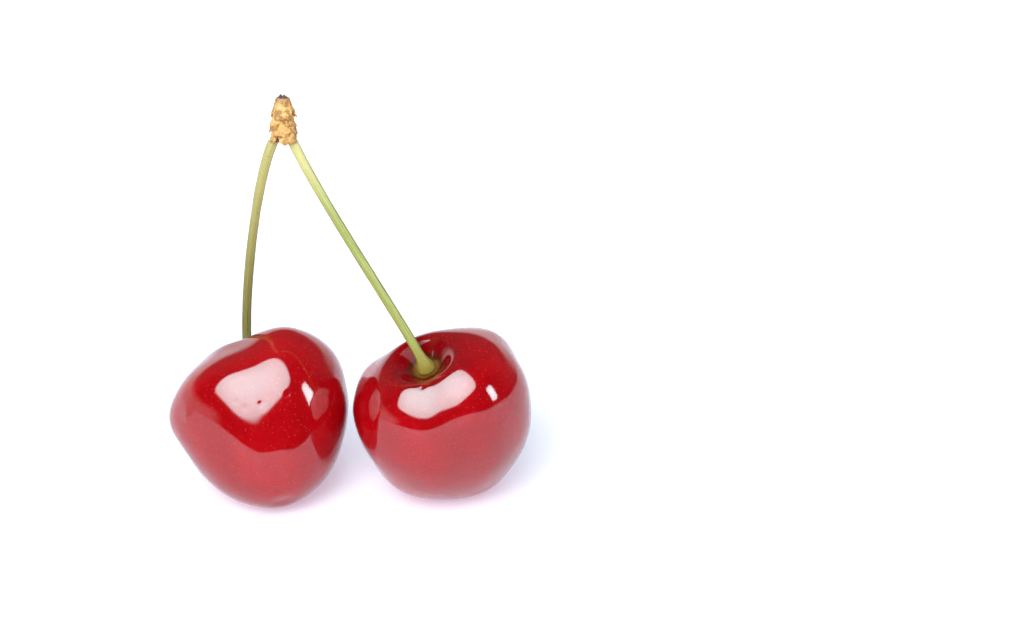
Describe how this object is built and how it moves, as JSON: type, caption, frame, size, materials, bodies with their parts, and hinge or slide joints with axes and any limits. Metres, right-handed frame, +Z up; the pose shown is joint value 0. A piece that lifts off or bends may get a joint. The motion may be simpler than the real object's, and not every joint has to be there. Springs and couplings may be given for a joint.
{
  "type": "cherries on stalks",
  "caption": "Glossy red sweet cherries on long green stalks that join at a dry, scaly stub of spur wood; they rest on the fruit with the stalks up.",
  "frame": {"origin": "middle of the bottom of the pair's box, on the surface that it rests on", "axes": "+Z up, along the standing stalks; +X from the left cherry to the right one; +Y away from the side that the hollow of the right cherry faces"},
  "size_m": [0.0528, 0.0294, 0.0575],
  "materials": {
    "cherry_skin": "glossy, thin waxy skin over deep red flesh, faintly speckled",
    "stalk_green": "matt, olive green with brown flecks",
    "stalk_pale": "matt, pale yellow-green, browner at the foot",
    "spur_wood": "rough broken wood, purple-brown",
    "bud_scale": "dry, papery, straw to golden brown"
  },
  "bodies": {
    "root": {"cherry_left": "cherry_skin", "cherry_right": "cherry_skin", "stalk_left": "stalk_green", "stalk_right": "stalk_pale", "spur_stub": "spur_wood", "bud_scale_01": "bud_scale", "bud_scale_02": "bud_scale", "bud_scale_03": "bud_scale", "bud_scale_04": "bud_scale", "bud_scale_05": "bud_scale", "bud_scale_06": "bud_scale", "bud_scale_07": "bud_scale", "bud_scale_08": "bud_scale", "bud_scale_09": "bud_scale", "bud_scale_10": "bud_scale", "bud_scale_11": "bud_scale", "bud_scale_12": "bud_scale"}
  },
  "joints": []
}
